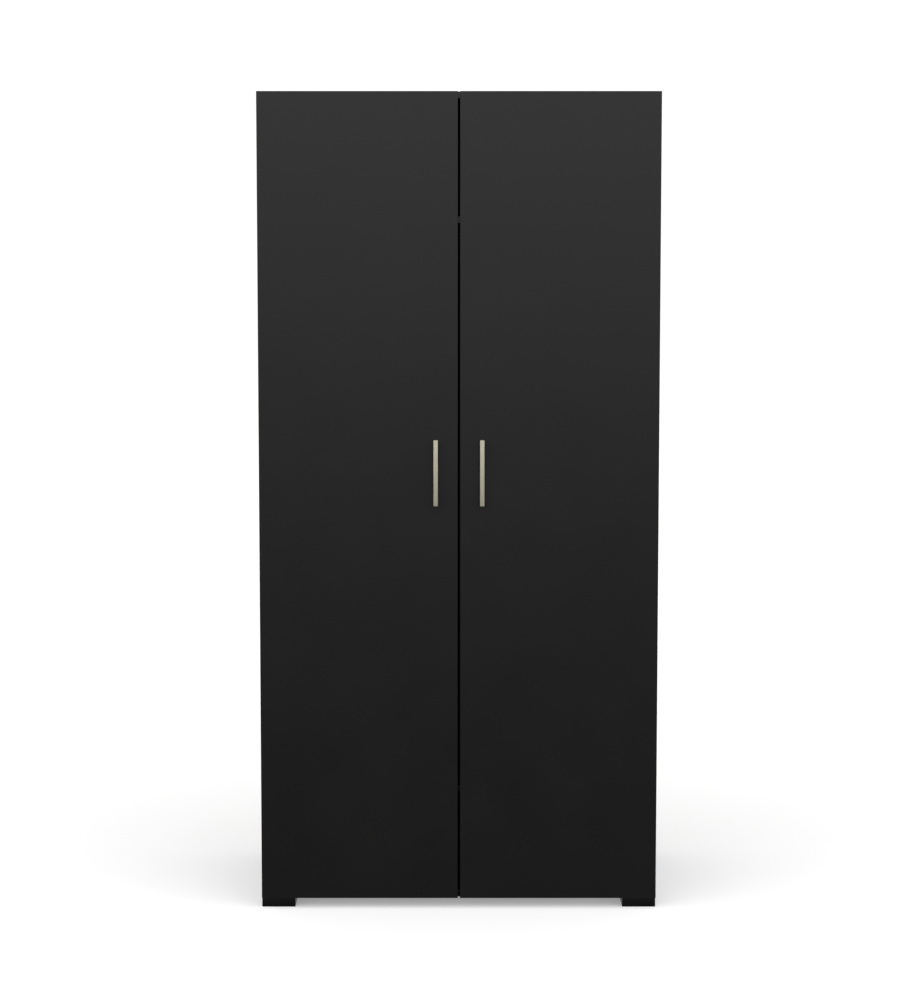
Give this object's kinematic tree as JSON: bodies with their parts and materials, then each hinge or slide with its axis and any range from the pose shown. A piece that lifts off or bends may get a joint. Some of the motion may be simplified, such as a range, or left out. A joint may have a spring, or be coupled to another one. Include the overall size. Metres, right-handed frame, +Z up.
{
  "type": "wardrobe",
  "caption": "Tall black wardrobe on low block feet with plain full-overlay hinged doors, vertical bar handles, a hat shelf, a hanging rail and a low shoe shelf.",
  "frame": {"origin": "on the floor under the middle of the whole piece, handles and back strip included", "axes": "+X to the viewer's right facing the doors, +Y from the doors to the back, +Z up"},
  "size_m": [0.9, 0.5494, 1.844],
  "materials": {
    "black_board": "black melamine-faced chipboard, satin, edges banded to match",
    "back_hardboard": "thin hardboard, black lacquered on the inside, bare brown fibre behind",
    "strip_plastic": "extruded black plastic strip, dull",
    "foot_plastic": "moulded black plastic block, dull",
    "handle_nickel": "satin nickel plated, slightly warm, fine lengthwise brushing",
    "hinge_steel": "nickel plated pressed steel",
    "rail_steel": "oval steel tube, black powder coat",
    "cast_zinc": "zinc die casting, lightly tumbled",
    "zinc_screws": "bright zinc plated",
    "bracket_steel": "zinc plated bent steel strip",
    "beech_dowel": "plain beech, fluted",
    "clear_bumper": "soft translucent dot"
  },
  "bodies": {
    "carcass": {"left_side_panel": "black_board", "right_side_panel": "black_board", "top_panel": "black_board", "bottom_panel": "black_board", "hat_shelf": "black_board", "lower_shelf": "black_board", "back_panel_left": "back_hardboard", "back_panel_right": "back_hardboard", "back_joining_strip": "strip_plastic", "hanging_rail": "rail_steel", "rail_socket_left": "cast_zinc", "rail_socket_right": "cast_zinc", "foot_front_left": "foot_plastic", "foot_front_right": "foot_plastic", "foot_rear_left": "foot_plastic", "foot_rear_right": "foot_plastic", "foot_screws": "zinc_screws", "cam_locks": "cast_zinc", "cam_bolts": "zinc_screws", "wooden_dowels": "beech_dowel", "back_nails": "zinc_screws", "wall_bracket_left": "bracket_steel", "wall_bracket_right": "bracket_steel", "wall_bracket_screws": "zinc_screws", "rail_socket_screws": "zinc_screws", "mounting_plates_left": "hinge_steel", "mounting_plates_right": "hinge_steel", "plate_screws": "zinc_screws", "arm_screws": "zinc_screws", "hinge_arm_left_1": "hinge_steel", "hinge_arm_left_2": "hinge_steel", "hinge_arm_left_3": "hinge_steel", "hinge_arm_left_4": "hinge_steel", "hinge_arm_right_1": "hinge_steel", "hinge_arm_right_2": "hinge_steel", "hinge_arm_right_3": "hinge_steel", "hinge_arm_right_4": "hinge_steel"},
    "left_door": {"left_door": "black_board", "left_handle": "handle_nickel", "left_handle_screws": "zinc_screws", "hinge_pins_left": "hinge_steel", "cup_screws_left": "zinc_screws", "door_bumpers_left": "clear_bumper", "hinge_cup_left_1": "hinge_steel", "hinge_cup_left_2": "hinge_steel", "hinge_cup_left_3": "hinge_steel", "hinge_cup_left_4": "hinge_steel"},
    "right_door": {"right_door": "black_board", "right_handle": "handle_nickel", "right_handle_screws": "zinc_screws", "hinge_pins_right": "hinge_steel", "cup_screws_right": "zinc_screws", "door_bumpers_right": "clear_bumper", "hinge_cup_right_1": "hinge_steel", "hinge_cup_right_2": "hinge_steel", "hinge_cup_right_3": "hinge_steel", "hinge_cup_right_4": "hinge_steel"}
  },
  "joints": [
    {"name": "left_door_swing", "type": "hinge", "parent": "carcass", "child": "left_door", "pos_m": [-0.443, -0.24015, 0.934], "axis": [0, 0, -1], "range_deg": [0, 95]},
    {"name": "right_door_swing", "type": "hinge", "parent": "carcass", "child": "right_door", "pos_m": [0.443, -0.24015, 0.934], "axis": [0, 0, 1], "range_deg": [0, 95]}
  ]
}
